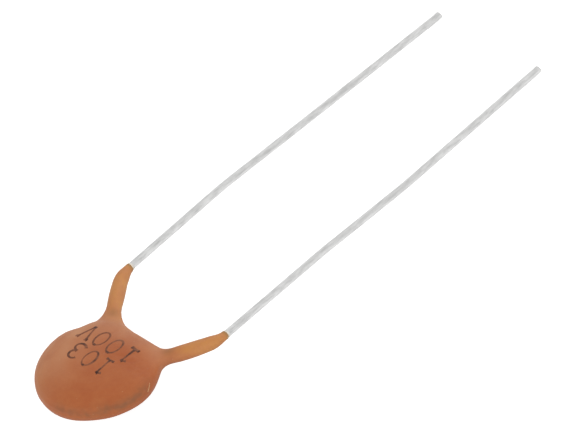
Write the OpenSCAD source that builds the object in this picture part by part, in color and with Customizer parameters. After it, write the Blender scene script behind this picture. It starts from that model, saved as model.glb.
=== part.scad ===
// Ceramic disc capacitor: a silvered ceramic disc between two soldered wires, dipped in resin.
// It lies flat, with the coated disc on its lower face and the two wires running along +Y down
// to the surface, which they touch at their cut tips. The origin is on that surface, under the
// middle of the whole part. The upper lead lies at -X and is soldered to the upper face of the
// disc, the lower lead lies at +X and is soldered to the lower face. All sizes are in millimetres.

/* [Ceramic disc] */
// Diameter of the ceramic disc
disc_d = 6.4; // [5:0.1:10]
// Thickness of the ceramic disc
disc_t = 0.5; // [0.3:0.05:1.2]
// Bare ring of ceramic round each electrode
electrode_margin = 0.4; // [0.2:0.05:0.6]
// Thickness of each fired silver electrode
electrode_t = 0.03; // [0.02:0.01:0.08]
// How far the disc sits from the middle of the coat, away from the leads
disc_shift = 0.35; // [0:0.05:0.5]

/* [Solder] */
// Length of the solder mound along the wire
solder_l = 2.6; // [2:0.1:3.4]
// Solder between the wire and the electrode
solder_film = 0.02; // [0.01:0.01:0.06]
// Solder over the top of the wire
solder_cover = 0.1; // [0.05:0.01:0.2]

/* [Resin coat on the disc] */
// Width of the coat round the edge of the disc
rim_coat = 0.925; // [0.7:0.025:1.6]
// Width of the coat at the flat edge between the legs
flat_coat = 0.575; // [0.4:0.025:1]
// Thickness of the coat over the wires
face_coat = 0.4; // [0.3:0.05:0.8]
// Section of the disc: 2 is an ellipse, a higher number has flatter faces and a fuller rim
fullness = 2.5; // [2.2:0.1:3.5]

/* [Resin coat on the legs] */
// Thickness of the coat on the wires
leg_coat = 0.23; // [0.15:0.01:0.4]
// Thickness of the coat where it ends on the wires
end_coat = 0.05; // [0.04:0.01:0.12]
// Length over which the coat thins towards its end
leg_taper = 1.2; // [0.6:0.1:2]
// Fillet between the upper leg and the round edge
upper_outer_fillet = 1.9; // [0.4:0.05:2.2]
// Fillet between the upper leg and the flat edge
upper_inner_fillet = 3.2; // [0.4:0.05:3.5]
// Fillet between the lower leg and the round edge
lower_outer_fillet = 0.6; // [0.4:0.05:2.2]
// Fillet between the lower leg and the flat edge
lower_inner_fillet = 1.15; // [0.4:0.05:1.6]
// How far the round edge draws in towards the upper leg
upper_shoulder = 0.3; // [0:0.05:0.4]
// How far the round edge draws in towards the lower leg
lower_shoulder = 0.05; // [0:0.05:0.4]

/* [Leads] */
// Diameter of the tinned wire
wire_d = 0.5; // [0.4:0.05:0.7]
// Distance between the leads where they leave the coat
lead_pitch = 9.6; // [8.5:0.1:12]
// Radius of the bend from a leg to its lead, at the middle of the wire
bend_r = 2.5; // [1.5:0.1:3.5]
// Spread of the upper lead's leg, in degrees from the leads' direction
upper_leg_angle = 36.5; // [30:0.5:42]
// Spread of the lower lead's leg, in degrees from the leads' direction
lower_leg_angle = 33.5; // [30:0.5:42]
// Where the upper leg's line crosses the middle of the coat, along X
upper_leg_aim = 0.1; // [-0.5:0.05:0.9]
// Where the lower leg's line crosses the middle of the coat, along X
lower_leg_aim = 0.88; // [-0.5:0.05:0.9]
// Length of the leads from their bends to the cut
lead_l = 28.2; // [15:0.1:40]
// How much more of the lower lead was left at the cut
lower_lead_extra = 0.6; // [-1:0.1:1]
// Length of wire past the middle of the disc
tail_l = 1; // [0.6:0.1:1.2]
// Length over which a wire steps from its electrode to the middle plane
crank_l = 1.2; // [1:0.1:1.6]
// Radius of the two bends of that step
crank_r = 0.8; // [0.5:0.1:1]

/* [Hand-bent sway of the leads] */
// Where along the leads the sway is given, as shares of their length
sway_at = [0.3, 0.55, 1]; // [0.1:0.05:1]
// Sideways sway of the upper lead there
upper_sway = [-0.3, -0.08, 0.24]; // [-0.5:0.01:0.5]
// Sideways sway of the lower lead there
lower_sway = [-0.08, 0.12, -0.15]; // [-0.5:0.01:0.5]
// Radius of the slack bends between those places
sway_r = 25; // [10:1:40]

/* [Hidden] */

// The two leads are told apart by the sign of X on which they lie.
UPPER = -1;
LOWER = 1;

wire_r = wire_d / 2;
leg_r = wire_r + leg_coat;
end_r = wire_r + end_coat;
coat_r = disc_d / 2 + rim_coat;
flat_y = disc_d / 2 - disc_shift + flat_coat;
electrode_z = disc_t / 2 + electrode_t;
wire_z = electrode_z + solder_film + wire_r;
solder_r = solder_film + wire_d + solder_cover;
coat_half = wire_z + wire_r + face_coat;
// A wire steps down only once it is this far past the edge of the disc.
crank_clear = 0.1;

// Facets of round shapes, and steps of the coat's skin
WIRE_FACETS = 32;
DISC_FACETS = 96;
RIB_STEPS = 7;
FAN_STEPS = 4;
ROOT_STEPS = 6;
LEG_STEPS = 16;
END_STEPS = 6;
FLAT_STEPS = 6;
ROUND_STEPS = 40;
// Part of the round edge, in degrees, and share of the flat edge that lead up to a leg's neck
FAN_ANGLE = 25;
FAN_SHARE = 0.25;
// Sharpness of the blend from the face of the disc to the top of a leg
ROOT_BLEND = 4;
// A bend stands this proud of the straight wire, which runs this far into it.
BEND_PROUD = 0.004;
BEND_LAP = 0.02;

COAT_COLOR = "#AE7048";
CERAMIC_COLOR = "#D9D0BC";
SILVER_COLOR = "#E2E2DE";
SOLDER_COLOR = "#A9ADB1";
WIRE_COLOR = "#CFCFCB";

// The route of a lead in plan. Distances s run along the middle of the leg from the point where
// its line crosses the middle of the coat, and w is measured outwards from that line.
function angle(side) = side == UPPER ? upper_leg_angle : lower_leg_angle;
function aim(side) = [side == UPPER ? upper_leg_aim : lower_leg_aim, 0];
function cut_l(side) = lead_l + (side == UPPER ? 0 : lower_lead_extra);
function sway(side) = side == UPPER ? upper_sway : lower_sway;
function heading(side) = [side * sin(angle(side)), cos(angle(side))];
function outward(side, turned = 0) =
  [side * cos(angle(side) - turned), -sin(angle(side) - turned)];
function on_line(side, s, w = 0) = aim(side) + s * heading(side) + w * outward(side);

// Distance at which a line w beside the leg's own leaves a circle of radius r round a centre
function leaves_circle(side, r, w = 0, centre = [0, 0]) =
  let (p = on_line(side, 0, w) - centre, along = p * heading(side))
  sqrt(along * along + r * r - p * p) - along;

// The bend brings a leg parallel to Y at half the pitch.
function bend_corner(side) = (lead_pitch / 2 - side * aim(side).x) / sin(angle(side));
function bend_start(side) = bend_corner(side) - bend_r * tan(angle(side) / 2);
function bend_end(side) = bend_start(side) + bend_r * angle(side) * PI / 180;
function bend_centre(side) = on_line(side, bend_start(side), -bend_r);
function turned_at(side, s) = max(0, s - bend_start(side)) / bend_r * 180 / PI;
function leg_outward(side, s) = outward(side, turned_at(side, s));
function leg_point(side, s, w = 0) =
  s <= bend_start(side)
    ? on_line(side, s, w)
    : bend_centre(side) + (bend_r + w) * leg_outward(side, s);

// Points of the wires in space, with Z measured from the middle plane of the disc, and the
// radius of the bend at each point between the ends
function lift(p, z) = [p.x, p.y, z];
function crank_start(side) =
  leaves_circle(side, disc_d / 2, centre = [0, -disc_shift]) + crank_clear;
function free_point(side, i) =
  let (from = leg_point(side, bend_end(side)))
  [
    from.x + sway(side)[i],
    from.y + sway_at[i] * cut_l(side),
    (wire_r - coat_half) * sway_at[i]
  ];
function wire_path(side) = concat(
  [
    lift(on_line(side, -tail_l), -side * wire_z),
    lift(on_line(side, crank_start(side)), -side * wire_z),
    lift(on_line(side, crank_start(side) + crank_l), 0),
    lift(on_line(side, bend_corner(side)), 0)
  ],
  [for (i = [0 : len(sway_at) - 1]) free_point(side, i)]
);
WIRE_RADII = concat([0, crank_r, crank_r, bend_r], [for (at = sway_at) sway_r]);
function tip_y(side) = free_point(side, len(sway_at) - 1).y;
middle_y = (max(tip_y(UPPER), tip_y(LOWER)) - coat_r) / 2;

// The skin of the coat is a loft of ribs. Each rib runs from a spine, over the edge of the
// outline and back to the spine underneath. The spine is the middle of the disc for the round
// body, and branches to each leg: first across the disc to the neck, where the leg's fillets
// begin, then along the root between the fillets, then along the leg itself.

function mix(a, b, t) = a + (b - a) * t;
function ease(t) = t * t * (3 - 2 * t);
function direction(v) = atan2(v.y, v.x);
function polar(r, a) = r * [cos(a), sin(a)];
function reversed(list) = [for (i = [len(list) - 1 : -1 : 0]) list[i]];

// The round edge draws in towards a leg, and fillets run from it and the flat edge to the leg.
function shoulder(side) = side == UPPER ? upper_shoulder : lower_shoulder;
function shoulder_r(side) = coat_r - shoulder(side);
function outer_fillet(side) = side == UPPER ? upper_outer_fillet : lower_outer_fillet;
function inner_fillet(side) = side == UPPER ? upper_inner_fillet : lower_inner_fillet;
function outer_fillet_s(side) =
  leaves_circle(side, shoulder_r(side) + outer_fillet(side), leg_r + outer_fillet(side));
function outer_fillet_centre(side) =
  on_line(side, outer_fillet_s(side), leg_r + outer_fillet(side));
function outer_neck(side) = direction(outer_fillet_centre(side));
function inner_fillet_s(side) =
  let (r = inner_fillet(side))
  (flat_y + r - (leg_r + r) * sin(angle(side))) / cos(angle(side));
function inner_fillet_centre(side) =
  on_line(side, inner_fillet_s(side), -leg_r - inner_fillet(side));

// Where along a leg its neck, root and free part begin
function along(side, p) = (p - aim(side)) * heading(side);
function neck_s(side) = min(
  along(side, polar(shoulder_r(side), outer_neck(side))),
  along(side, [inner_fillet_centre(side).x, flat_y])
);
function root_s(side) = max(outer_fillet_s(side), inner_fillet_s(side));

// Half the coat's width on a leg, which thins towards the end of the coat
function leg_half(side, s) =
  mix(leg_r, end_r, ease(max(0, 1 - (bend_end(side) - s) / leg_taper)));

// Radius of the round edge in a direction, as it draws in over the fan of ribs before the neck
function round_r(side, a) =
  let (before_neck = side * ((outer_neck(side) - a + 540) % 360 - 180))
  mix(coat_r, shoulder_r(side), ease(1 - min(1, max(0, before_neck / FAN_ANGLE))));
// Half the thickness that the body has at a place in plan, without its legs
function edge_r(p) =
  let (r = round_r(p.x < 0 ? UPPER : LOWER, direction(p)))
  p.y > 0 ? min(r, flat_y * norm(p) / p.y) : r;
function body_half(p) =
  let (share = norm(p) / edge_r(p))
  share < 1 ? coat_half * pow(1 - pow(share, fullness), 1 / fullness) : 0;
// Half the coat's thickness on a spine: that of the body, blended into that of the leg
function spine_half(p, leg) =
  let (body = pow(body_half(p), ROOT_BLEND), share = body / pow(coat_half, ROOT_BLEND))
  pow(body + pow(leg, ROOT_BLEND) * (1 - share), 1 / ROOT_BLEND);

// Spine points, each as a place in plan and half the thickness there. Point 0 is the middle of
// the disc, then come the points of the lower leg and those of the upper leg.
BRANCH_STEPS = FAN_STEPS + ROOT_STEPS;
LEG_POINTS = BRANCH_STEPS + LEG_STEPS;
function leg_s(side, k) = mix(root_s(side), bend_end(side), k / LEG_STEPS);
function branch_point(side, k) =
  k < FAN_STEPS
    ? leg_point(side, neck_s(side)) * k / FAN_STEPS
    : leg_point(side, mix(neck_s(side), root_s(side), (k - FAN_STEPS) / ROOT_STEPS));
function leg_spine(side) = concat(
  [for (k = [1 : BRANCH_STEPS])
    let (p = branch_point(side, k))
    [p, spine_half(p, leg_r)]],
  [for (k = [1 : LEG_STEPS])
    let (s = leg_s(side, k), p = leg_point(side, s))
    [p, spine_half(p, leg_half(side, s))]]
);
SPINE = concat([[[0, 0], coat_half]], leg_spine(LOWER), leg_spine(UPPER));
function spine_id(side, k) = k == 0 ? 0 : k + (side == UPPER ? LEG_POINTS : 0);

// The outline beside a branch of the spine: the body's edge up to the neck, then the fillet
function arc_point(centre, r, from, to, t) =
  let (turn = (to - from + 540) % 360 - 180)
  centre + polar(r, from + turn * t);
function outer_edge(side, k) =
  let (a = outer_neck(side) - side * FAN_ANGLE * (1 - k / FAN_STEPS))
  k <= FAN_STEPS
    ? polar(round_r(side, a), a)
    : arc_point(outer_fillet_centre(side), outer_fillet(side), outer_neck(side) + 180,
                direction(-outward(side)), (k - FAN_STEPS) / ROOT_STEPS);
function inner_edge(side, k) =
  let (centre = inner_fillet_centre(side))
  k <= FAN_STEPS
    ? [centre.x - side * FAN_FLAT * (1 - k / FAN_STEPS), flat_y]
    : arc_point(centre, inner_fillet(side), -90, direction(outward(side)),
                (k - FAN_STEPS) / ROOT_STEPS);
FAN_FLAT = FAN_SHARE * (inner_fillet_centre(LOWER).x - inner_fillet_centre(UPPER).x);

// Ribs, each as its spine point, its point on the outline, the fullness of its section, and
// how much it has a section of its own, where 0 follows the body
function branch_fullness(k) = mix(fullness, 2, max(0, k - FAN_STEPS) / ROOT_STEPS);
function branch_own(k) = min(1, max(0, (k - FAN_STEPS + 1) / 2));
function branch_ribs(side, edge) = [
  for (k = [0 : BRANCH_STEPS]) [spine_id(side, k), edge(side, k), branch_fullness(k), branch_own(k)]
];
function leg_ribs(side, out) = [
  for (k = [1 : LEG_STEPS])
    let (s = leg_s(side, k))
    [spine_id(side, BRANCH_STEPS + k), leg_point(side, s, out * leg_half(side, s)), 2, 1]
];
function end_ribs(side) = [
  for (k = [1 : END_STEPS - 1])
    let (s = bend_end(side), a = 180 * k / END_STEPS)
    [spine_id(side, LEG_POINTS),
     leg_point(side, s) + end_r * (cos(a) * leg_outward(side, s) + sin(a) * [0, 1]),
     2, 1]
];
// All the ribs of a leg, from the round edge to the flat edge
function whole_leg_ribs(side) = concat(
  branch_ribs(side, function (side, k) outer_edge(side, k)),
  leg_ribs(side, 1),
  end_ribs(side),
  reversed(leg_ribs(side, -1)),
  reversed(branch_ribs(side, function (side, k) inner_edge(side, k)))
);
function flat_ribs() =
  let (from = inner_edge(LOWER, 0), to = inner_edge(UPPER, 0))
  [for (k = [1 : FLAT_STEPS - 1]) [0, mix(from, to, k / FLAT_STEPS), fullness, 0]];
function round_ribs() =
  let (from = direction(outer_edge(UPPER, 0)), to = direction(outer_edge(LOWER, 0)))
  [for (k = [1 : ROUND_STEPS - 1])
    [0, polar(coat_r, mix(from % 360, to + 360, k / ROUND_STEPS)), fullness, 0]];
RIBS = concat(
  whole_leg_ribs(LOWER), flat_ribs(), reversed(whole_leg_ribs(UPPER)), round_ribs()
);

// Points of one rib between its two ends on the spine, from the top to the bottom. No rib lies
// lower than the body would without its legs, so that the roots of the legs have no grooves.
ROWS = 2 * RIB_STEPS - 1;
function rib_points(rib) =
  let (from = SPINE[rib[0]][0], half = SPINE[rib[0]][1], power = 2 / rib[2])
  [for (row = [1 : ROWS])
    let (
      a = 90 * row / RIB_STEPS,
      p = mix(from, rib[1], pow(sin(a), power)),
      body = body_half(p),
      own = max(body, half * pow(abs(cos(a)), power))
    )
    lift(p, sign(cos(a)) * mix(body, own, rib[3]))];

// Triangles between a rib and the next. The spine's upper points come first in the list of
// points, then its lower points, then the points of the ribs.
function top_id(rib) = rib[0];
function bottom_id(rib) = len(SPINE) + rib[0];
function row_id(i, row) = 2 * len(SPINE) + i * ROWS + row - 1;
function strip(i) =
  let (
    j = (i + 1) % len(RIBS),
    a = RIBS[i],
    b = RIBS[j],
    joins = a[0] != b[0]
  )
  concat(
    [[top_id(a), row_id(j, 1), row_id(i, 1)]],
    joins ? [[top_id(a), top_id(b), row_id(j, 1)]] : [],
    [for (row = [1 : ROWS - 1]) each [
      [row_id(i, row), row_id(j, row), row_id(j, row + 1)],
      [row_id(i, row), row_id(j, row + 1), row_id(i, row + 1)]
    ]],
    [[bottom_id(a), row_id(i, ROWS), row_id(j, ROWS)]],
    joins ? [[bottom_id(a), row_id(j, ROWS), bottom_id(b)]] : []
  );

module coat_skin() {
  points = concat(
    [for (p = SPINE) lift(p[0], p[1])],
    [for (p = SPINE) lift(p[0], -p[1])],
    [for (rib = RIBS) each rib_points(rib)]
  );
  polyhedron(points, [for (i = [0 : len(RIBS) - 1]) each strip(i)]);
}

// How far a bend reaches along the path on each side of its corner
function unit(v) = v / norm(v);
function turn_at(path, i) = acos(unit(path[i] - path[i - 1]) * unit(path[i + 1] - path[i]));
function setback(path, i) =
  i == 0 || i == len(path) - 1 ? 0 : WIRE_RADII[i] * tan(turn_at(path, i) / 2);

module straight_wire(path, i) {
  run = path[i + 1] - path[i];
  from = setback(path, i) - (i > 0 ? BEND_LAP : 0);
  to = norm(run) - setback(path, i + 1) + (i + 2 < len(path) ? BEND_LAP : 0);
  translate(path[i])
    rotate([0, acos(unit(run).z), direction(run)])
      translate([0, 0, from]) cylinder(d = wire_d, h = to - from, $fn = WIRE_FACETS);
}

module bent_wire(path, i) {
  r = WIRE_RADII[i];
  ahead = unit(path[i] - path[i - 1]);
  axis = unit(cross(ahead, path[i + 1] - path[i]));
  out = cross(ahead, axis);
  centre = path[i] - setback(path, i) * ahead - r * out;
  multmatrix([for (k = [0 : 2]) [out[k], ahead[k], axis[k], centre[k]]])
    rotate_extrude(angle = turn_at(path, i), $fn = DISC_FACETS)
      translate([r, 0]) circle(d = wire_d + 2 * BEND_PROUD, $fn = WIRE_FACETS);
}

module wire(side) {
  path = wire_path(side);
  for (i = [0 : len(path) - 2])
    straight_wire(path, i);
  for (i = [1 : len(path) - 2])
    bent_wire(path, i);
}

module disc_blank() {
  translate([0, -disc_shift, 0])
    cylinder(d = disc_d, h = disc_t, center = true, $fn = DISC_FACETS);
}

// The electrode on the face that carries a lead
module electrode_blank(side) {
  rotate([side == UPPER ? 0 : 180, 0, 0])
    translate([0, side * disc_shift, disc_t / 2])
      cylinder(d = disc_d - 2 * electrode_margin, h = electrode_t, $fn = DISC_FACETS);
}

// A mound of solder along a wire, half a round-ended rod that lies on the electrode
module solder_blank(side) {
  straight = solder_l - 2 * solder_r;
  translate(lift(aim(side), -side * electrode_z))
    rotate([0, 0, -side * angle(side)])
      rotate([-90, side == UPPER ? 180 : 0, 0])
        rotate_extrude(angle = 180, $fn = DISC_FACETS)
          intersection() {
            union() {
              translate([0, -straight / 2]) square([solder_r, straight]);
              for (end = [-1, 1])
                translate([0, end * straight / 2]) circle(r = solder_r, $fn = DISC_FACETS);
            }
            translate([0, -solder_l]) square([solder_r, 2 * solder_l]);
          }
}

// Puts what is drawn round the middle plane of the disc in the frame of the whole part
module placed() {
  translate([0, -middle_y, coat_half]) children();
}

module coating() {
  color(COAT_COLOR) placed() difference() {
    coat_skin();
    disc_blank();
    for (side = [UPPER, LOWER]) {
      electrode_blank(side);
      solder_blank(side);
      wire(side);
    }
  }
}

module ceramic_disc() {
  color(CERAMIC_COLOR) placed() disc_blank();
}

module upper_electrode() {
  color(SILVER_COLOR) placed() electrode_blank(UPPER);
}

module lower_electrode() {
  color(SILVER_COLOR) placed() electrode_blank(LOWER);
}

module solder(side) {
  color(SOLDER_COLOR) placed() difference() {
    solder_blank(side);
    wire(side);
  }
}

module upper_solder() {
  solder(UPPER);
}

module lower_solder() {
  solder(LOWER);
}

module upper_lead() {
  color(WIRE_COLOR) placed() wire(UPPER);
}

module lower_lead() {
  color(WIRE_COLOR) placed() wire(LOWER);
}

coating();
ceramic_disc();
upper_electrode();
lower_electrode();
upper_solder();
lower_solder();
upper_lead();
lower_lead();
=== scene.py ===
# %% [markdown]
# # Ceramic disc capacitor
# The part is a coin of fired ceramic, silvered on both faces, with a wire soldered to each face.
# The whole disc was dipped in liquid resin, which ran a little way down both wires and then set.
# The measured solids are loaded as a fixed frame, and this lesson gives them their finish.
# A part this small is easier to think about in millimetres, so shapes are worked out in
# millimetres and turned into metres when they become objects.

# %% The frame
import math

import bmesh
import bpy
from mathutils import Matrix, Vector, noise
from mathutils.bvhtree import BVHTree


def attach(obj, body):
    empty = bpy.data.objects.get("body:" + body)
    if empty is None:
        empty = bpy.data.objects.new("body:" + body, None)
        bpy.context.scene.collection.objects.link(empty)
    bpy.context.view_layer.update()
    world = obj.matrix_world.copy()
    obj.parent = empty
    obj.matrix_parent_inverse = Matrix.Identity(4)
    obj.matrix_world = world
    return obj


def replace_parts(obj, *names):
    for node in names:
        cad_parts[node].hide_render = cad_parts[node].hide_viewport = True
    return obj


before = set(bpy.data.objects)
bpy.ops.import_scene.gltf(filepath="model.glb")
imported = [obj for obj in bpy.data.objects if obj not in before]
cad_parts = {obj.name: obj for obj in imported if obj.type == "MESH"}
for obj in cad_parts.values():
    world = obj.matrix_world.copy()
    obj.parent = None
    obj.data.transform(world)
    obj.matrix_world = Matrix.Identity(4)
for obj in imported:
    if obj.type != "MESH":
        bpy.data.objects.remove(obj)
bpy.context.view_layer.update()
MM = 0.001

print("nodes:", sorted(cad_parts))

# %% [markdown]
# ## Colours and shader nodes
# Colours are easiest to name as the sRGB hex code that a colour picker shows, but a shader adds
# up light, so the code is turned into linear values once, here. A material is a small tree of
# nodes. One function adds a node, sets it, and links it to the nodes that feed it.

# %% Colours and shader nodes
def colour(hex_code):
    """The linear colour of an sRGB hex code."""
    channels = [int(hex_code[i:i + 2], 16) / 255 for i in (0, 2, 4)]
    linear = [c / 12.92 if c <= 0.04045 else ((c + 0.055) / 1.055) ** 2.4 for c in channels]
    return (*linear, 1.0)


def add_node(owner, kind, inputs=None, **settings):
    """Adds a node with its settings, and gives each named input a value or another node's output."""
    tree = owner.node_tree
    node = tree.nodes.new(kind)
    for name, value in settings.items():
        setattr(node, name, value)
    for name, value in (inputs or {}).items():
        if isinstance(value, bpy.types.NodeSocket):
            tree.links.new(value, node.inputs[name])
        else:
            node.inputs[name].default_value = value
    return node


print("middle grey is linear", round(colour("808080")[0], 3))

# %% [markdown]
# ## Camera
# The picture was taken from the side of the disc, looking down, with the camera turned so that
# the leads run to the upper right. A long lens keeps the leads parallel. The angles were found
# by laying the outlines of the solids over the outlines in the picture.

# %% Camera
CAMERA_AZIMUTH = math.radians(57.63)
CAMERA_ELEVATION = math.radians(43.26)
CAMERA_ROLL = math.radians(-17.76)
CAMERA_DISTANCE = 350
LOOKS_AT = Vector((0.659, 0.588, 1.0))
PIXELS_PER_MM = 15.796
IMAGE_WIDTH = 577

forward = Vector((
    -math.sin(CAMERA_AZIMUTH) * math.cos(CAMERA_ELEVATION),
    math.cos(CAMERA_AZIMUTH) * math.cos(CAMERA_ELEVATION),
    -math.sin(CAMERA_ELEVATION),
))
level = Vector((math.cos(CAMERA_AZIMUTH), math.sin(CAMERA_AZIMUTH), 0))
rise = level.cross(forward)
right = level * math.cos(CAMERA_ROLL) + rise * math.sin(CAMERA_ROLL)
up = rise * math.cos(CAMERA_ROLL) - level * math.sin(CAMERA_ROLL)

lens = bpy.data.cameras.new("camera")
lens.sensor_fit = "HORIZONTAL"
lens.lens = PIXELS_PER_MM * CAMERA_DISTANCE * lens.sensor_width / IMAGE_WIDTH
lens.clip_start = 0.01
camera = bpy.data.objects.new("camera", lens)
place = Matrix((right, up, -forward)).transposed().to_4x4()
place.translation = (LOOKS_AT - forward * CAMERA_DISTANCE) * MM
camera.matrix_world = place
bpy.context.scene.collection.objects.link(camera)
bpy.context.scene.camera = camera
bpy.context.scene.view_settings.view_transform = "Standard"
print("lens in mm:", round(lens.lens, 1))

# %% [markdown]
# ## The room
# The picture is a catalogue photograph: the light comes from everywhere, and the background is
# pure white. What shines in the part is a bright wall beyond the leads, in a room that gets
# dimmer towards the camera. It shows as a pale sheen on the far side of the disc and in the
# wires. A world shader can tell apart the rays that light a surface from those that look
# straight at the room or mirror it, so the room lights the part evenly, and only its reflection
# has the wall.

# %% The room
ROOM_LIGHT = 0.56
WALL_IS_TOWARDS = (0, 1, 0)
WALL_EDGE = 0.45
WALL_LEVEL = 0.86
ROOM_LEVEL = 0.42


def seen_directly(owner, mirrored_share):
    """1 for rays that look straight at the background, a share for its reflection, and else 0."""
    path = add_node(owner, "ShaderNodeLightPath").outputs
    mirrored = add_node(owner, "ShaderNodeMath",
                        {0: path["Is Glossy Ray"], 1: path["Is Transmission Ray"]}, operation="MAXIMUM")
    share = add_node(owner, "ShaderNodeMath", {0: mirrored.outputs[0], 1: mirrored_share},
                     operation="MULTIPLY")
    seen = add_node(owner, "ShaderNodeMath", {0: path["Is Camera Ray"], 1: share.outputs[0]},
                    operation="MAXIMUM")
    return seen.outputs[0]


world = bpy.data.worlds.new("white studio")
world.use_nodes = True
room = world.node_tree.nodes["Background"]
looking = add_node(world, "ShaderNodeTexCoord").outputs["Generated"]
wallward = add_node(world, "ShaderNodeVectorMath", {0: looking, 1: WALL_IS_TOWARDS},
                    operation="DOT_PRODUCT")
wall = add_node(world, "ShaderNodeMapRange",
                {"Value": wallward.outputs["Value"], "From Min": 0.0, "From Max": WALL_EDGE,
                 "To Min": ROOM_LEVEL, "To Max": WALL_LEVEL})
room_level = add_node(world, "ShaderNodeMix",
                      {"Factor": seen_directly(world, 1), "A": ROOM_LIGHT, "B": wall.outputs["Result"]})
world.node_tree.links.new(room_level.outputs["Result"], room.inputs["Strength"])
room.inputs["Color"].default_value = colour("FFFFFF")
bpy.context.scene.world = world
print("the room lights the part at", ROOM_LIGHT)

# %% [markdown]
# ## The floor
# The part lies on a sweep of white paper. White paper would throw much light back up under the
# disc, so its own colour is a light grey, and what the camera sees of it is lifted to white by
# a glow that lights nothing. Reflections see about half of the glow, which keeps the lower edge
# of a wire from melting into the background. The glow also drowns the part's shadow. The floor
# and the lamps are far larger than the part, so their sizes are in metres.

# %% The floor
PAPER_GREY = "BCBCBC"
FLOOR_LIFT = 0.84
FLOOR_MIRRORED = 0.53
FLOOR_SIZE = 3.0
FLOOR_GAP = 0.01

floor_paper = bpy.data.materials.new("white paper sweep")
floor_paper.use_nodes = True
floor_paper.node_tree.nodes.clear()
paper = add_node(floor_paper, "ShaderNodeBsdfDiffuse", {"Color": colour(PAPER_GREY)})
lift = add_node(floor_paper, "ShaderNodeMath",
                {0: seen_directly(floor_paper, FLOOR_MIRRORED), 1: FLOOR_LIFT}, operation="MULTIPLY")
glow = add_node(floor_paper, "ShaderNodeEmission",
                {"Color": colour("FFFFFF"), "Strength": lift.outputs[0]})
both = add_node(floor_paper, "ShaderNodeAddShader", {0: paper.outputs[0], 1: glow.outputs[0]})
add_node(floor_paper, "ShaderNodeOutputMaterial", {"Surface": both.outputs[0]})

sheet = bmesh.new()
bmesh.ops.create_grid(sheet, x_segments=1, y_segments=1, size=FLOOR_SIZE / 2)
bmesh.ops.translate(sheet, vec=(0, 0, -FLOOR_GAP * MM), verts=sheet.verts)
floor_mesh = bpy.data.meshes.new("floor")
sheet.to_mesh(floor_mesh)
sheet.free()
floor_mesh.materials.append(floor_paper)
floor = bpy.data.objects.new("floor", floor_mesh)
bpy.context.scene.collection.objects.link(floor)
print("floor is", FLOOR_SIZE, "m wide")

# %% [markdown]
# ## Soft lamps
# Three large square lamps fill in the near side, the front and the far side. They are hidden
# from reflections, so that the only sheen is that of the room.

# %% Soft lamps
LAMP_DISTANCE = 0.6
LAMP_SIZE = 0.5
LAMPS = (
    ("side softbox", Vector((0.95, -0.3, 0.2)), 2.0),
    ("front softbox", Vector((-0.3, -0.95, 0.4)), 1.25),
    ("wall softbox", Vector((-0.2, 0.95, 0.5)), 1.5),
)

for name, towards, watts in LAMPS:
    lamp = bpy.data.lights.new(name, "AREA")
    lamp.size = LAMP_SIZE
    lamp.energy = watts
    holder = bpy.data.objects.new(name, lamp)
    holder.location = towards.normalized() * LAMP_DISTANCE
    holder.rotation_euler = towards.to_track_quat("Z", "Y").to_euler()
    holder.visible_glossy = False
    bpy.context.scene.collection.objects.link(holder)
    print(name, watts, "W")

# %% [markdown]
# ## Dipped resin: its colour
# The coat is a phenolic resin, filled with fine mineral powder, and baked hard. It is opaque,
# satin and a little waxy. It is deepest in colour where it is thick, on the disc, and lighter
# and yellower on the legs, where the bright wire lies close under it. Its colour drifts in soft
# patches of a millimetre or two. Soft noise between two tones gives that drift, once for the
# disc and once for the legs, and the place along Y blends the one into the other.

# %% Resin colour
DISC_DEEP = "A85422"
DISC_WARM = "B26330"
LEG_DEEP = "BE7848"
LEG_PALE = "CB8A46"
LEG_STARTS = -13.2
LEG_FULL = -11.0
PATCH_SIZE = 1.7


def new_material(name):
    """A material with its nodes, and the principled shader that it starts with."""
    material = bpy.data.materials.new(name)
    material.use_nodes = True
    return material, material.node_tree.nodes["Principled BSDF"]


def grain(size):
    """The scale of a pattern whose grains are this many millimetres wide."""
    return 1 / (size * MM)


resin, resin_shader = new_material("phenolic dip coat")
on_resin = add_node(resin, "ShaderNodeTexCoord").outputs["Object"]
patches = add_node(resin, "ShaderNodeTexNoise",
                   {"Vector": on_resin, "Scale": grain(PATCH_SIZE), "Detail": 6.0, "Roughness": 0.72})
drift = add_node(resin, "ShaderNodeMapRange",
                 {"Value": patches.outputs["Fac"], "From Min": 0.32, "From Max": 0.68})
disc_tone = add_node(resin, "ShaderNodeMixRGB",
                     {"Fac": drift.outputs["Result"], "Color1": colour(DISC_DEEP),
                      "Color2": colour(DISC_WARM)})
leg_tone = add_node(resin, "ShaderNodeMixRGB",
                    {"Fac": drift.outputs["Result"], "Color1": colour(LEG_DEEP),
                     "Color2": colour(LEG_PALE)})
along = add_node(resin, "ShaderNodeSeparateXYZ", {"Vector": on_resin}).outputs["Y"]
on_leg = add_node(resin, "ShaderNodeMapRange",
                  {"Value": along, "From Min": LEG_STARTS * MM, "From Max": LEG_FULL * MM},
                  interpolation_type="SMOOTHSTEP")
resin_tone = add_node(resin, "ShaderNodeMixRGB",
                      {"Fac": on_leg.outputs["Result"], "Color1": disc_tone.outputs["Color"],
                       "Color2": leg_tone.outputs["Color"]})
print("resin colours drift over", PATCH_SIZE, "mm")

# %% [markdown]
# ## Dipped resin: its marks
# A pale painted sheen lies on one side of the disc and round the roots of the legs, where the satin
# resin would mirror the bright room. Painted shade darkens the neck where each leg leaves the disc,
# and a band of painted shade runs along the near side of the rim. The bake has browned the two
# ends of the coat. Each mark is a value on the points of the mesh, which is filled in further
# down, and here each value lays its own tone over what lies below it.

# %% Resin marks
# Tones of a painted sheen, of painted shade at the necks and along the near rim, and of the browned coat
# ends.
MARK_TONES = {"painted_sheen": "D09A70", "painted_neck_shade": "8E6036", "painted_rim_shade": "704C2E", "coat_end": "8E7240"}

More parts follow.
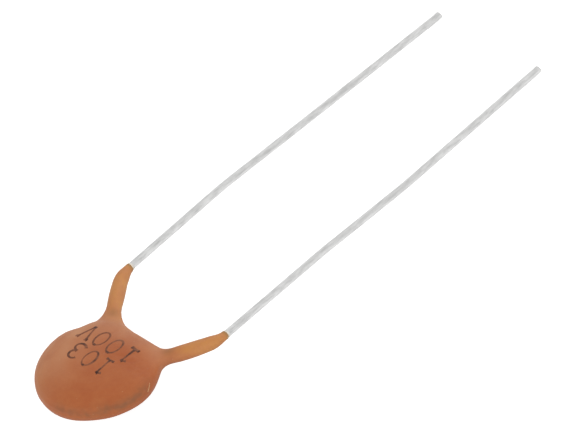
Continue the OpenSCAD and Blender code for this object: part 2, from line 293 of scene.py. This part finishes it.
marked = resin_tone.outputs["Color"]
for mark, tone in MARK_TONES.items():
    amount = add_node(resin, "ShaderNodeAttribute", attribute_name=mark)
    marked = add_node(resin, "ShaderNodeMixRGB",
                      {"Fac": amount.outputs["Fac"], "Color1": marked,
                       "Color2": colour(tone)}).outputs["Color"]
print("marks of the resin:", ", ".join(MARK_TONES))

# %% [markdown]
# ## Dipped resin: its skin
# Coarse grains of the filler show as sparse specks, dark and light. Voronoi cells place them, and
# only the middle of each cell is tinted. Real grains are finer than this, but would be lost
# between the pixels. The peel of a dip is a shallow bump that also makes the satin uneven.

# %% Resin skin
SPECK_SPACING = 0.5
SPECK_SIZE = 0.045
SPECK_STRENGTH = 0.55
SPECK_DARK = "6E4526"
SPECK_LIGHT = "DDB58A"
PEEL_SIZE = 0.22
PEEL_DEPTH = 0.006
SATIN = (0.44, 0.58)

cells = add_node(resin, "ShaderNodeTexVoronoi", {"Vector": on_resin, "Scale": grain(SPECK_SPACING)})
speck = add_node(resin, "ShaderNodeMapRange",
                 {"Value": cells.outputs["Distance"], "From Min": 0.0,
                  "From Max": SPECK_SIZE / SPECK_SPACING, "To Min": SPECK_STRENGTH, "To Max": 0.0})
speck_tone = add_node(resin, "ShaderNodeMixRGB",
                      {"Fac": cells.outputs["Color"], "Color1": colour(SPECK_DARK),
                       "Color2": colour(SPECK_LIGHT)})
specked = add_node(resin, "ShaderNodeMixRGB",
                   {"Fac": speck.outputs["Result"], "Color1": marked,
                    "Color2": speck_tone.outputs["Color"]})
peel = add_node(resin, "ShaderNodeTexNoise",
                {"Vector": on_resin, "Scale": grain(PEEL_SIZE), "Detail": 3.0, "Roughness": 0.55})
peel_bumps = add_node(resin, "ShaderNodeBump",
                      {"Height": peel.outputs["Fac"], "Strength": 0.7, "Distance": PEEL_DEPTH * MM})
satin = add_node(resin, "ShaderNodeMapRange",
                 {"Value": peel.outputs["Fac"], "To Min": SATIN[0], "To Max": SATIN[1]})
resin.node_tree.links.new(specked.outputs["Color"], resin_shader.inputs["Base Color"])
resin.node_tree.links.new(satin.outputs["Result"], resin_shader.inputs["Roughness"])
resin.node_tree.links.new(peel_bumps.outputs["Normal"], resin_shader.inputs["Normal"])
resin_shader.inputs["IOR"].default_value = 1.58
print(resin.name, "has", len(resin.node_tree.nodes), "nodes")

# %% [markdown]
# ## The coat: a closed copy
# The solid of the coat is a loft with flat facets and a cavity for what it holds. A liquid skin
# has neither. So the thin lip of each leg is cut off flat, every face that touches one of the
# other solids is deleted, and the two open ends are filled. What is left is one closed skin.

# %% A closed copy of the coat
CAVITY_REACH = 0.02
LEG_INSIDE = 2.5
LIP_TRIMS = {-1: 0.26, 1: 0.15}
MERGE_REACH = 0.0005


def node_copy(name):
    """A merged copy of a solid's mesh, in millimetres."""
    copy = bmesh.new()
    copy.from_mesh(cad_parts[name].data)
    bmesh.ops.scale(copy, vec=(1 / MM,) * 3, verts=copy.verts)
    bmesh.ops.remove_doubles(copy, verts=copy.verts, dist=MERGE_REACH)
    return copy


held = bmesh.new()
for node in sorted(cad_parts):
    if node != "coating":
        held.from_mesh(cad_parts[node].data)
bmesh.ops.scale(held, vec=(1 / MM,) * 3, verts=held.verts)
held_tree = BVHTree.FromBMesh(held)
held.free()

skin = node_copy("coating")
for side, trim in LIP_TRIMS.items():
    leg = [f for f in skin.faces if f.calc_center_median().x * side > LEG_INSIDE]
    leg_end = max(v.co.y for f in leg for v in f.verts)
    near_end = [f for f in leg if max(v.co.y for v in f.verts) > leg_end - 2 * trim]
    around = {part for f in near_end for part in (f, *f.edges, *f.verts)}
    bmesh.ops.bisect_plane(skin, geom=list(around), plane_co=(0, leg_end - trim, 0),
                           plane_no=(0, 1, 0), clear_outer=True)
cavity = [f for f in skin.faces if held_tree.find_nearest(f.calc_center_median())[3] < CAVITY_REACH]
bmesh.ops.delete(skin, geom=cavity, context="FACES")
rims = [e for e in skin.edges if e.is_boundary]
closed = bmesh.ops.holes_fill(skin, edges=rims, sides=0)["faces"]
bmesh.ops.triangulate(skin, faces=skin.faces)
print("cavity faces left out:", len(cavity), "and leg ends closed:", len(closed))

# %% [markdown]
# ## The coat: an even net
# Long thin facets can't be smoothed well, so the skin is rebuilt by a Remesh modifier as an even
# net of small squares. It is fine enough to keep the lips, and the evaluated copy of the object
# hands the result back as a bmesh.

# %% An even net
NET_SIZE = 0.05

rough_mesh = bpy.data.meshes.new("rough coat")
skin.to_mesh(rough_mesh)
skin.free()
rough = bpy.data.objects.new("rough coat", rough_mesh)
bpy.context.scene.collection.objects.link(rough)
net = rough.modifiers.new("net", "REMESH")
net.mode = "VOXEL"
net.voxel_size = NET_SIZE
netted = rough.evaluated_get(bpy.context.evaluated_depsgraph_get())
skin = bmesh.new()
skin.from_mesh(netted.data)
bpy.data.objects.remove(rough)
print("net of the coat:", len(skin.verts), "points")

# %% [markdown]
# ## The coat: melted
# Smoothing melts the facets away. Plain smoothing shrinks a round leg, so each pass is followed
# by one that pushes back, which keeps the form. Where the face of the disc runs down to the neck
# of a leg, liquid resin leaves no crease at all, so the upper and lower faces there get plain
# passes as well, over a reach that shrinks as they go on.

# %% Melted
MELT_PASSES = 24
MELT_IN = 0.5
MELT_OUT = -0.52
NECKS = (Vector((-1.93, -12.75)), Vector((2.65, -13.0)))
NECK_REACH = 1.3
NECK_PASSES = 90
NECK_FACE_TILT = 0.35
NECK_SHRINK = 0.5


def melt(points, factor):
    """One pass of smoothing on some points of the skin, or of pushing back."""
    bmesh.ops.smooth_vert(skin, verts=points, factor=factor,
                          use_axis_x=True, use_axis_y=True, use_axis_z=True)


for turn in range(MELT_PASSES):
    melt(skin.verts, MELT_IN)
    melt(skin.verts, MELT_OUT)
skin.normal_update()

neck_faces = []
for point in skin.verts:
    away = min((point.co.to_2d() - neck).length for neck in NECKS)
    if away < NECK_REACH and abs(point.normal.z) > NECK_FACE_TILT:
        neck_faces.append((away, point))
for turn in range(NECK_PASSES):
    reach = NECK_REACH * (1 - NECK_SHRINK * turn / NECK_PASSES)
    melt([point for away, point in neck_faces if away < reach], MELT_IN)
skin.normal_update()
print("points melted at the necks:", len(neck_faces))

# %% [markdown]
# ## The coat: horns and waves
# Surface tension gathers the resin in the middle of each leg and draws it smooth over the bend of
# the wire, so a leg looks like a horn and not like a bent pipe. The rim of the disc isn't quite
# round either: it is fuller on the side that the resin drained to, and a little flat beside that.
# Two kinds of soft push do that. One swells the skin along its normals, or presses it in, and one
# moves a bend a little inwards. Each dies away with the distance from one place. Then the whole
# skin gets the shallow waves that a dip leaves, always inwards.

# %% Horns and waves
SWELLS = (
    (Vector((-3.78, -10.65, 1.2)), 0.05),
    (Vector((3.91, -11.49, 1.2)), 0.05),
    (Vector((3.95, -15.6, 0.9)), 0.1),
    (Vector((2.75, -18.9, 0.9)), -0.06),
)
SWELL_SIZE = 1.3
BENDS = (
    (Vector((-5.25, -9.39, 1.1)), Vector((0.07, 0.026, 0))),
    (Vector((5.15, -10.56, 1.1)), Vector((-0.09, 0.034, 0))),
)
BEND_SIZE = 0.85
WAVE_SIZE = 1.3
WAVE_DEPTH = 0.03


def near(spot, middle, size):
    """1 at a middle, dying away softly over a size."""
    return math.exp(-((spot - middle).length / size) ** 2)


shaped = []
for point in skin.verts:
    swell = sum(amount * near(point.co, middle, SWELL_SIZE) for middle, amount in SWELLS)
    wave = WAVE_DEPTH * (noise.noise(point.co / WAVE_SIZE) - 1) / 2
    ease = sum((push * near(point.co, bend, BEND_SIZE) for bend, push in BENDS), Vector())
    shaped.append(point.co + point.normal * (swell + wave) + ease)
for point, spot in zip(skin.verts, shaped):
    point.co = spot
print("places swollen or pressed:", len(SWELLS), "and bends eased:", len(BENDS))

# %% [markdown]
# ## The coat: where its marks lie
# The marks follow the surface, so they are values on the points of the skin, for the material to
# read. The browned ends are measured from each end of the coat. The painted shade at the necks lies
# in round spots. The painted shade on the rim lies on the near side of the disc, a little above
# the widest line of the rim, and is broken up by noise of two sizes. The painted sheen is on one
# side of the disc and round the roots of the legs.

# %% Ends, painted neck shade, painted rim shade and painted sheen
END_BROWNING = 0.34
END_DARKNESS = 0.7
# Painted shade in the neck where each leg leaves the disc.
NECK_SHADE_SPOTS = (Vector((-2.4, -12.0, 1.75)), Vector((3.05, -12.35, 1.75)))
NECK_SHADE_SIZE = 0.6
NECK_SHADE_DARKNESS = 0.45
DISC_MIDDLE = Vector((0, -15.76, 1.2))
# Painted shade along the near side of the rim, broken up by noise.
RIM_SHADE_TOWARDS = Vector((0.8, -0.6))
RIM_SHADE_FROM_MIDDLE = 3
RIM_SHADE_SPREAD = (0.5, 0.8)
RIM_SHADE_HEIGHT = 0.33
RIM_SHADE_WIDTH = 0.27
RIM_SHADE_DARKNESS = 0.52
RIM_SHADE_SWAY = 0.16
RIM_SHADE_SWAY_LENGTH = 1.5
RIM_SHADE_PATCH_SIZE = 0.7
RIM_SHADE_FINE_SIZE = 0.25
# A pale painted sheen on one side of the disc and round the roots of the legs, where the satin would
# mirror the bright room.
SHEEN_SIDE = (1.0, -3.2)
SHEEN_ROOT = (1.5, 2.9)
SHEEN_LEG = (2.9, 4.2)
SHEEN_ROOT_SHARE = 0.6
SHEEN_STRENGTH = 0.45
SHEEN_PATCH = 0.9


def fade(value, none, full):
    """A soft step that is 0 at one value and 1 at the other."""
    t = min(1, max(0, (value - none) / (full - none)))
    return t * t * (3 - 2 * t)


def painted_rim_shade_at(spot, out):
    """How dark the painted shade on the rim is at a place, which is also given from the middle of the
    disc.
    """
    if out.to_2d().length < RIM_SHADE_FROM_MIDDLE:
        return 0
    near_side_share = fade(out.to_2d().normalized().dot(RIM_SHADE_TOWARDS), *RIM_SHADE_SPREAD)
    patchy = 0.75 + (noise.noise(spot / RIM_SHADE_PATCH_SIZE) + noise.noise(spot / RIM_SHADE_FINE_SIZE)) / 2
    off = out.z - RIM_SHADE_HEIGHT - RIM_SHADE_SWAY * noise.noise(spot / RIM_SHADE_SWAY_LENGTH)
    return RIM_SHADE_DARKNESS * near_side_share * patchy * math.exp(-(off / RIM_SHADE_WIDTH) ** 2)


def painted_sheen_at(spot, out):
    """How pale the painted sheen is at a place, which is also given from the middle of the disc."""
    by_side = fade(out.x, *SHEEN_SIDE)
    by_root = SHEEN_ROOT_SHARE * fade(out.y, *SHEEN_ROOT)
    sheen_amount = (1 - (1 - by_side) * (1 - by_root)) * (1 - fade(out.y, *SHEEN_LEG))
    return SHEEN_STRENGTH * sheen_amount * (0.9 + 0.5 * noise.noise(spot / SHEEN_PATCH))


coat_ends = {side: max(p.co.y for p in skin.verts if p.co.x * side > 0) for side in LIP_TRIMS}
layers = {mark: skin.verts.layers.float.new(mark) for mark in MARK_TONES}
for point in skin.verts:
    out = point.co - DISC_MIDDLE
    to_neck_shade = min((point.co - painted_neck_shade).length for painted_neck_shade in NECK_SHADE_SPOTS)
    to_end = coat_ends[-1 if point.co.x < 0 else 1] - point.co.y
    # A painted sheen.
    point[layers["painted_sheen"]] = painted_sheen_at(point.co, out)
    # Painted shade in the necks of the legs.
    point[layers["painted_neck_shade"]] = NECK_SHADE_DARKNESS * fade(to_neck_shade, NECK_SHADE_SIZE, 0)
    # Painted shade along the near side of the rim.
    point[layers["painted_rim_shade"]] = painted_rim_shade_at(point.co, out)
    point[layers["coat_end"]] = END_DARKNESS * fade(to_end, END_BROWNING, 0)
print("coat ends on the wires at y:", [round(end, 2) for end in coat_ends.values()])

# %% [markdown]
# ## The coat becomes a piece
# A piece of the part is a mesh object that rides on the frame, has the slot of its material, and
# takes the place of a solid. The skin is also kept as a search tree, because ink and a stray
# fibre are to be laid on it later.

# %% The coat
def make_piece(shape, name, material):
    """Turns a bmesh in millimetres into a piece of the part."""
    bmesh.ops.scale(shape, vec=(MM,) * 3, verts=shape.verts)
    mesh = bpy.data.meshes.new(name)
    shape.to_mesh(mesh)
    shape.free()
    mesh.materials.append(material)
    mesh.shade_smooth()
    piece = bpy.data.objects.new(name, mesh)
    bpy.context.scene.collection.objects.link(piece)
    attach(piece, "root")
    print(name, "has", len(mesh.polygons), "faces")
    return piece


skin_tree = BVHTree.FromBMesh(skin)
coat = make_piece(skin, "resin_coat", resin)
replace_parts(coat, "coating")

# %% [markdown]
# ## Tinned wire
# The leads are soft copper wire that was drawn through a bath of molten tin. The tin is dull
# bright: it mirrors the white room softly, with streaks along the wire where the drawing die and
# the handling have rubbed it, and its cut end is a duller grey. The streaks are noise that is
# stretched along the wire, and rubbed places are brighter and smoother. Tin crystals are finer
# than the bump that stands for them here, which is as coarse as it needs to be to show.

# %% Tinned wire
TIN_DARK = "D8D8D7"
TIN_LIGHT = "FAFAF9"
SHEARED_GREY = "A09F9C"
STREAK_WIDTH = 0.16
STREAK_LENGTH = 0.9
TIN_DULLNESS = (0.5, 0.28)
CRYSTAL_SIZE = 0.12
CRYSTAL_DEPTH = 0.002

tin, tin_shader = new_material("tinned copper wire")
on_tin = add_node(tin, "ShaderNodeTexCoord").outputs["Object"]
stretched = add_node(tin, "ShaderNodeMapping",
                     {"Vector": on_tin, "Scale": (1, STREAK_WIDTH / STREAK_LENGTH, 1)})
streaks = add_node(tin, "ShaderNodeTexNoise",
                   {"Vector": stretched.outputs["Vector"], "Scale": grain(STREAK_WIDTH),
                    "Detail": 4.0, "Roughness": 0.6})
rubbed = add_node(tin, "ShaderNodeMapRange",
                  {"Value": streaks.outputs["Fac"], "From Min": 0.3, "From Max": 0.7})
tin_tone = add_node(tin, "ShaderNodeMixRGB",
                    {"Fac": rubbed.outputs["Result"], "Color1": colour(TIN_DARK),
                     "Color2": colour(TIN_LIGHT)})
sheared = add_node(tin, "ShaderNodeAttribute", attribute_name="sheared").outputs["Fac"]
cut_tone = add_node(tin, "ShaderNodeMixRGB",
                    {"Fac": sheared, "Color1": tin_tone.outputs["Color"], "Color2": colour(SHEARED_GREY)})
dullness = add_node(tin, "ShaderNodeMapRange",
                    {"Value": streaks.outputs["Fac"], "To Min": TIN_DULLNESS[0],
                     "To Max": TIN_DULLNESS[1]})
crystals = add_node(tin, "ShaderNodeTexNoise",
                    {"Vector": on_tin, "Scale": grain(CRYSTAL_SIZE), "Detail": 3.0})
tin_bumps = add_node(tin, "ShaderNodeBump",
                     {"Height": crystals.outputs["Fac"], "Strength": 0.6,
                      "Distance": CRYSTAL_DEPTH * MM})
tin.node_tree.links.new(cut_tone.outputs["Color"], tin_shader.inputs["Base Color"])
tin.node_tree.links.new(dullness.outputs["Result"], tin_shader.inputs["Roughness"])
tin.node_tree.links.new(tin_bumps.outputs["Normal"], tin_shader.inputs["Normal"])
tin_shader.inputs["Metallic"].default_value = 1.0
print(tin.name, "has", len(tin.node_tree.nodes), "nodes")

# %% [markdown]
# ## The leads: their middles
# The solids of the leads already follow the bends and the sway of hand bending. The middle of
# each is found by cutting it across every tenth of a millimetre or so, and taking the middle of
# each cut. The few cuts before the last are left out, so that the tip is a straight run.

# %% Middles of the leads
SLICE_SPACING = 0.12
STRAIGHT_SLICES = 3
SHEAR_SETBACK = 0.012


def wire_middles(node):
    """The middles of a wire's slices across Y, from its inner end to just short of its tip."""
    solid = node_copy(node)
    first = min(v.co.y for v in solid.verts) + SLICE_SPACING
    last = max(v.co.y for v in solid.verts) - SHEAR_SETBACK
    count = round((last - first) / SLICE_SPACING)
    middles = []
    for i in range(count + 1):
        y = first + (last - first) * i / count
        cut = bmesh.ops.bisect_plane(solid, geom=[*solid.verts, *solid.edges, *solid.faces],
                                     plane_co=(0, y, 0), plane_no=(0, 1, 0), clear_inner=True)
        rim = [v.co for v in cut["geom_cut"] if isinstance(v, bmesh.types.BMVert)]
        middles.append(Vector((
            (min(spot.x for spot in rim) + max(spot.x for spot in rim)) / 2,
            y,
            (min(spot.z for spot in rim) + max(spot.z for spot in rim)) / 2,
        )))
    solid.free()
    return middles[:-1 - STRAIGHT_SLICES] + middles[-1:]


upper_middles = wire_middles("upper_lead")
lower_middles = wire_middles("lower_lead")
print("slices of the wires:", len(upper_middles), "and", len(lower_middles))

# %% [markdown]
# ## Round strokes
# A wire, a stroke of ink and a fibre are all a round section swept along a line. A curve with a
# bevel depth does that. It is turned into a bmesh at once, and its open ends are closed. The two
# wires are swept first, along their middles.

# %% Round strokes
WIRE_RADIUS = 0.25
WIRE_SIDES = 32


def sweep_strokes(strokes, radius, sides, name):
    """A bmesh of round strokes. Each stroke is a list of places and of how full the stroke is there."""
    curve = bpy.data.curves.new(name, "CURVE")
    curve.dimensions = "3D"
    curve.bevel_depth = radius
    curve.bevel_resolution = sides // 2 - 2
    for stroke in strokes:
        path = curve.splines.new("POLY")
        path.points.add(len(stroke) - 1)
        for point, (spot, fullness) in zip(path.points, stroke):
            point.co = (*spot, 1)
            point.radius = fullness
    drawn = bpy.data.objects.new(name, curve)
    bpy.context.scene.collection.objects.link(drawn)
    swept = bmesh.new()
    swept.from_mesh(drawn.evaluated_get(bpy.context.evaluated_depsgraph_get()).to_mesh())
    bpy.data.objects.remove(drawn)
    bmesh.ops.remove_doubles(swept, verts=swept.verts, dist=MERGE_REACH)
    bmesh.ops.holes_fill(swept, edges=[e for e in swept.edges if e.is_boundary], sides=0)
    bmesh.ops.recalc_face_normals(swept, faces=swept.faces)
    print(name, "swept from", len(strokes), "strokes")
    return swept


upper_round = sweep_strokes([[(spot, 1) for spot in upper_middles]], WIRE_RADIUS, WIRE_SIDES, "upper")
lower_round = sweep_strokes([[(spot, 1) for spot in lower_middles]], WIRE_RADIUS, WIRE_SIDES, "lower")

# %% [markdown]
# ## The leads
# The tip of each wire is sheared at a slant, as side cutters leave it, with a softened edge, and
# the points of the cut are marked for the material. The faint dents of handling are pressed in
# along the normals, never out, so that the wire keeps its thickness.

# %% The leads
DENT_SIZE = 1.1
DENT_DEPTH = 0.012
SHEAR_SLANT = math.radians(12)
SHEAR_EDGE = 0.05
CRISP_EDGE = math.radians(40)


def make_lead(wire, end, name):
    """Shears a round wire just short of its end, dents it, and makes it a piece."""
    slant = Vector((0, math.cos(SHEAR_SLANT), math.sin(SHEAR_SLANT)))
    tip = end - Vector((0, WIRE_RADIUS * math.tan(SHEAR_SLANT) + SHEAR_SETBACK, 0))
    shear = bmesh.ops.bisect_plane(wire, geom=[*wire.verts, *wire.edges, *wire.faces],
                                   plane_co=tip, plane_no=slant, clear_outer=True)
    rim = [e for e in shear["geom_cut"] if isinstance(e, bmesh.types.BMEdge)]
    bmesh.ops.edgeloop_fill(wire, edges=rim)
    bmesh.ops.bevel(wire, geom=rim, offset=SHEAR_EDGE, affect="EDGES", segments=3, profile=0.5,
                    material=-1)
    wire.normal_update()
    cut_mark = wire.verts.layers.float.new("sheared")
    for point in wire.verts:
        point[cut_mark] = 1 if (point.co - tip).dot(slant) > -SHEAR_EDGE / 2 else 0
        dent = (noise.noise(point.co / DENT_SIZE) - 1) / 2
        point.co += point.normal * dent * DENT_DEPTH
    lead = make_piece(wire, name, tin)
    lead.data.set_sharp_from_angle(angle=CRISP_EDGE)
    return lead


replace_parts(make_lead(upper_round, upper_middles[-1], "upper_wire"), "upper_lead")
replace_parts(make_lead(lower_round, lower_middles[-1], "lower_wire"), "lower_lead")

# %% [markdown]
# ## Film on the wires
# Just past the end of the coat, a pale film of flux and clear resin clings to each wire. It is
# thinner than a hair, cream where it is thickest, and thins out to the colour of the tin. A value
# on its points says how thick it is.

# %% Film
FILM_PALE = "F1ECE2"
FILM_CREAM = "E6DCC8"
FILM_THIN = "D6D5D1"
FILM_PATCH = 0.15

film, film_shader = new_material("flux and resin film")
on_film = add_node(film, "ShaderNodeTexCoord").outputs["Object"]
film_patches = add_node(film, "ShaderNodeTexNoise",
                        {"Vector": on_film, "Scale": grain(FILM_PATCH), "Detail": 2.0})
film_tone = add_node(film, "ShaderNodeMixRGB",
                     {"Fac": film_patches.outputs["Fac"], "Color1": colour(FILM_CREAM),
                      "Color2": colour(FILM_PALE)})
thick = add_node(film, "ShaderNodeAttribute", attribute_name="thick").outputs["Fac"]
thinned = add_node(film, "ShaderNodeMixRGB",
                   {"Fac": thick, "Color1": colour(FILM_THIN), "Color2": film_tone.outputs["Color"]})
film.node_tree.links.new(thinned.outputs["Color"], film_shader.inputs["Base Color"])
film_shader.inputs["Roughness"].default_value = 0.4
print(film.name, "has", len(film.node_tree.nodes), "nodes")

# %% [markdown]
# ## Collars
# The film is lathed: a short profile, from inside the coat to where it meets the wire, is spun
# round and closed. Its edge is pulled to and fro a little by noise, because no drop dries even.

# %% Collars
COLLAR = ((-0.12, 0.2), (-0.1, 0.29), (-0.02, 0.274), (0.08, 0.262), (0.17, 0.24))
COLLAR_STEPS = 40
COLLAR_RAGGED = 0.07
RAGS_PER_MM = 4


def make_collar(middles, coat_end, name):
    """A ragged collar of film round a wire, at the end of the coat."""
    start, beyond = [spot for spot in middles if spot.y > coat_end][:2]
    axis = (beyond - start).normalized()
    start = start - axis * (start.y - coat_end) / axis.y
    ring = bmesh.new()
    profile = [ring.verts.new((radius, 0, height)) for height, radius in COLLAR]
    edges = [ring.edges.new(pair) for pair in zip(profile, profile[1:])]
    bmesh.ops.spin(ring, geom=[*profile, *edges], cent=(0, 0, 0), axis=(0, 0, 1), dvec=(0, 0, 0),
                   angle=math.tau, steps=COLLAR_STEPS, use_merge=True)
    bmesh.ops.holes_fill(ring, edges=[e for e in ring.edges if e.is_boundary], sides=0)
    bmesh.ops.recalc_face_normals(ring, faces=ring.faces)
    thickness = ring.verts.layers.float.new("thick")
    for point in ring.verts:
        point[thickness] = fade(point.co.z, COLLAR[-1][0], 0)
        around = (point.co.x * RAGS_PER_MM, point.co.y * RAGS_PER_MM, start.x)
        point.co.z += COLLAR_RAGGED * noise.noise(around)
    ring.transform(Matrix.Translation(start) @ axis.to_track_quat("Z", "Y").to_matrix().to_4x4())
    make_piece(ring, name, film)


make_collar(upper_middles, coat_ends[-1], "upper_collar")
make_collar(lower_middles, coat_ends[1], "lower_collar")

# %% [markdown]
# ## Stamping ink
# A value and a voltage are stamped on the upper face in black ink. The ink has soaked into the
# wax at the edge of each stroke, so it is brown there, and handling has worn it thin in places.
# A value on its points is 1 along the middle of a stroke and 0 at its edge.

# %% Ink
INK_BLACK = "3C1E14"
INK_WORN = "8A5438"
INK_EDGE = "A8623A"
WEAR_SIZE = 0.4

ink, ink_shader = new_material("worn stamping ink")
on_ink = add_node(ink, "ShaderNodeTexCoord").outputs["Object"]
wear = add_node(ink, "ShaderNodeTexNoise",
                {"Vector": on_ink, "Scale": grain(WEAR_SIZE), "Detail": 4.0, "Roughness": 0.7})
worn = add_node(ink, "ShaderNodeMapRange",
                {"Value": wear.outputs["Fac"], "From Min": 0.36, "From Max": 0.62})
ink_tone = add_node(ink, "ShaderNodeMixRGB",
                    {"Fac": worn.outputs["Result"], "Color1": colour(INK_BLACK),
                     "Color2": colour(INK_WORN)})
inked = add_node(ink, "ShaderNodeAttribute", attribute_name="inked").outputs["Fac"]
soaked = add_node(ink, "ShaderNodeMixRGB",
                  {"Fac": inked, "Color1": colour(INK_EDGE), "Color2": ink_tone.outputs["Color"]})
ink.node_tree.links.new(soaked.outputs["Color"], ink_shader.inputs["Base Color"])
ink_shader.inputs["Roughness"].default_value = 0.6
print(ink.name, "has", len(ink.node_tree.nodes), "nodes")

# %% [markdown]
# ## Figures
# The figures are plain ones, each made of straight lines and arcs in a box that is one unit wide
# and one high. They are read with the leads hanging down, so on the part their right is -X and
# their top is -Y.

# %% Figures
FIGURE_W = 0.8
FIGURE_H = 1.28
FIGURE_STEP = 1.22
LINES = (("103", Vector((-0.13, -15.98))), ("100V", Vector((-0.17, -14.36))))


def line(x0, y0, x1, y1, steps=12):
    """Points along a straight line."""
    return [(x0 + (x1 - x0) * i / steps, y0 + (y1 - y0) * i / steps) for i in range(steps + 1)]


def arc(x, y, rx, ry, start, stop, steps=40):
    """Points along an arc of an ellipse, between two angles in degrees."""
    turns = [math.radians(start + (stop - start) * i / steps) for i in range(steps + 1)]
    return [(x + rx * math.cos(turn), y + ry * math.sin(turn)) for turn in turns]


FIGURES = {
    "0": [arc(0, 0, 0.5, 0.5, 90, 450)],
    "1": [line(0, -0.5, 0, 0.5), line(-0.4, -0.5, 0.4, -0.5, 6), line(0, 0.5, -0.34, 0.36, 6)],
    "3": [arc(0, 0.25, 0.44, 0.25, 155, -90), arc(0, -0.25, 0.5, 0.25, 90, -155)],
    "V": [line(-0.5, 0.5, 0, -0.5), line(0.5, 0.5, 0, -0.5), line(-0.68, 0.5, -0.34, 0.5, 4),
          line(0.34, 0.5, 0.68, 0.5, 4)],
}

marks = []
for text, middle in LINES:
    for i, figure in enumerate(text):
        corner = middle - Vector(((i - (len(text) - 1) / 2) * FIGURE_STEP, 0))
        for stroke in FIGURES[figure]:
            marks.append([(corner.x - x * FIGURE_W, corner.y - y * FIGURE_H) for x, y in stroke])
print("strokes of the figures:", len(marks))

# %% [markdown]
# ## Stamped figures
# A stamp leaves more ink at the ends of a stroke, and an uneven edge, so each stroke gets fuller
# and thinner along its way. The round strokes are flattened to a film of ink, and each point is
# dropped straight down on to the skin.

# %% Stamped figures
STROKE = 0.165
INK_SIDES = 12
INK_THICKNESS = 0.006
FULL_AT_END = 1.35
FULL_ALONG = 0.95
UNEVEN = 0.45
INK_DRAW = 7.0
ABOVE_PART = 10

full = []
for stroke in marks:
    last = len(stroke) - 1
    filled = []
    for i, spot in enumerate(stroke):
        fullness = FULL_AT_END if min(i, last - i) < 2 else FULL_ALONG
        filled.append(((*spot, 0), fullness + UNEVEN * noise.noise((*spot, INK_DRAW))))
    full.append(filled)
printed = sweep_strokes(full, STROKE / 2, INK_SIDES, "figures")
ink_depth = printed.verts.layers.float.new("inked")
for point in printed.verts:
    point[ink_depth] = min(1, max(0, 2 * point.co.z / STROKE))
bmesh.ops.scale(printed, vec=(1, 1, 2 * INK_THICKNESS / STROKE), verts=printed.verts)
for point in printed.verts:
    above = (point.co.x, point.co.y, ABOVE_PART)
    spot, normal, face, distance = skin_tree.ray_cast(above, (0, 0, -1))
    point.co = spot + normal * point.co.z
make_piece(printed, "stamped_figures", ink)

# %% [markdown]
# ## Stray fibre
# A short hair of glass fibre settled on the rim while the resin was wet, and shows as a fine pale
# line. It is a thin round stroke between two places, drawn to the nearest point of the skin all
# along, so that half of it is sunk in the resin.

# %% Stray fibre
FIBRE_WIDTH = 0.045
FIBRE_ENDS = (Vector((4.0, -14.885, 1.59)), Vector((4.11, -15.355, 1.27)))
FIBRE_STEPS = 16
FIBRE_SIDES = 8

fibre, fibre_shader = new_material("stray glass fibre")
fibre_shader.inputs["Base Color"].default_value = colour("CFA77A")
fibre_shader.inputs["Roughness"].default_value = 0.4
hair = []
for step in range(FIBRE_STEPS + 1):
    spot = FIBRE_ENDS[0].lerp(FIBRE_ENDS[1], step / FIBRE_STEPS)
    hair.append((skin_tree.find_nearest(spot)[0], 1))
strand = sweep_strokes([hair], FIBRE_WIDTH / 2, FIBRE_SIDES, "fibre")
make_piece(strand, "stray_fibre", fibre)

# %% [markdown]
# ## What the coat hides
# The ceramic, the silver, and the solder can't be seen, but the part may be cut open in another
# picture, so they get plain true finishes too: matt fired titanate, matt fired silver paste, and
# solder that set with a satin skin.

# %% Inner finishes
INNER_BUMP = 0.003


def inner_finish(name, dark, light, size, metallic, roughness, nodes):
    """A two-tone finish with a fine bump, for nodes that stay as they are."""
    material, shader = new_material(name)
    spot = add_node(material, "ShaderNodeTexCoord").outputs["Object"]
    grains = add_node(material, "ShaderNodeTexNoise",
                      {"Vector": spot, "Scale": grain(size), "Detail": 3.0})
    tone = add_node(material, "ShaderNodeMixRGB",
                    {"Fac": grains.outputs["Fac"], "Color1": colour(dark), "Color2": colour(light)})
    bump = add_node(material, "ShaderNodeBump",
                    {"Height": grains.outputs["Fac"], "Strength": 0.4, "Distance": INNER_BUMP * MM})
    material.node_tree.links.new(tone.outputs["Color"], shader.inputs["Base Color"])
    material.node_tree.links.new(bump.outputs["Normal"], shader.inputs["Normal"])
    shader.inputs["Metallic"].default_value = metallic
    shader.inputs["Roughness"].default_value = roughness
    for node in nodes:
        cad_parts[node].data.materials.clear()
        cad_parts[node].data.materials.append(material)
    print(name, "on", ", ".join(nodes))


inner_finish("fired titanate ceramic", "C8BEA8", "E2D9C4", 0.12, 0.0, 0.7, ["ceramic_disc"])
inner_finish("fired silver paste", "CFCFCA", "EDEDE8", 0.08, 1.0, 0.5,
             ["upper_electrode", "lower_electrode"])
inner_finish("soft solder", "9EA2A6", "C0C4C8", 0.2, 1.0, 0.35, ["upper_solder", "lower_solder"])
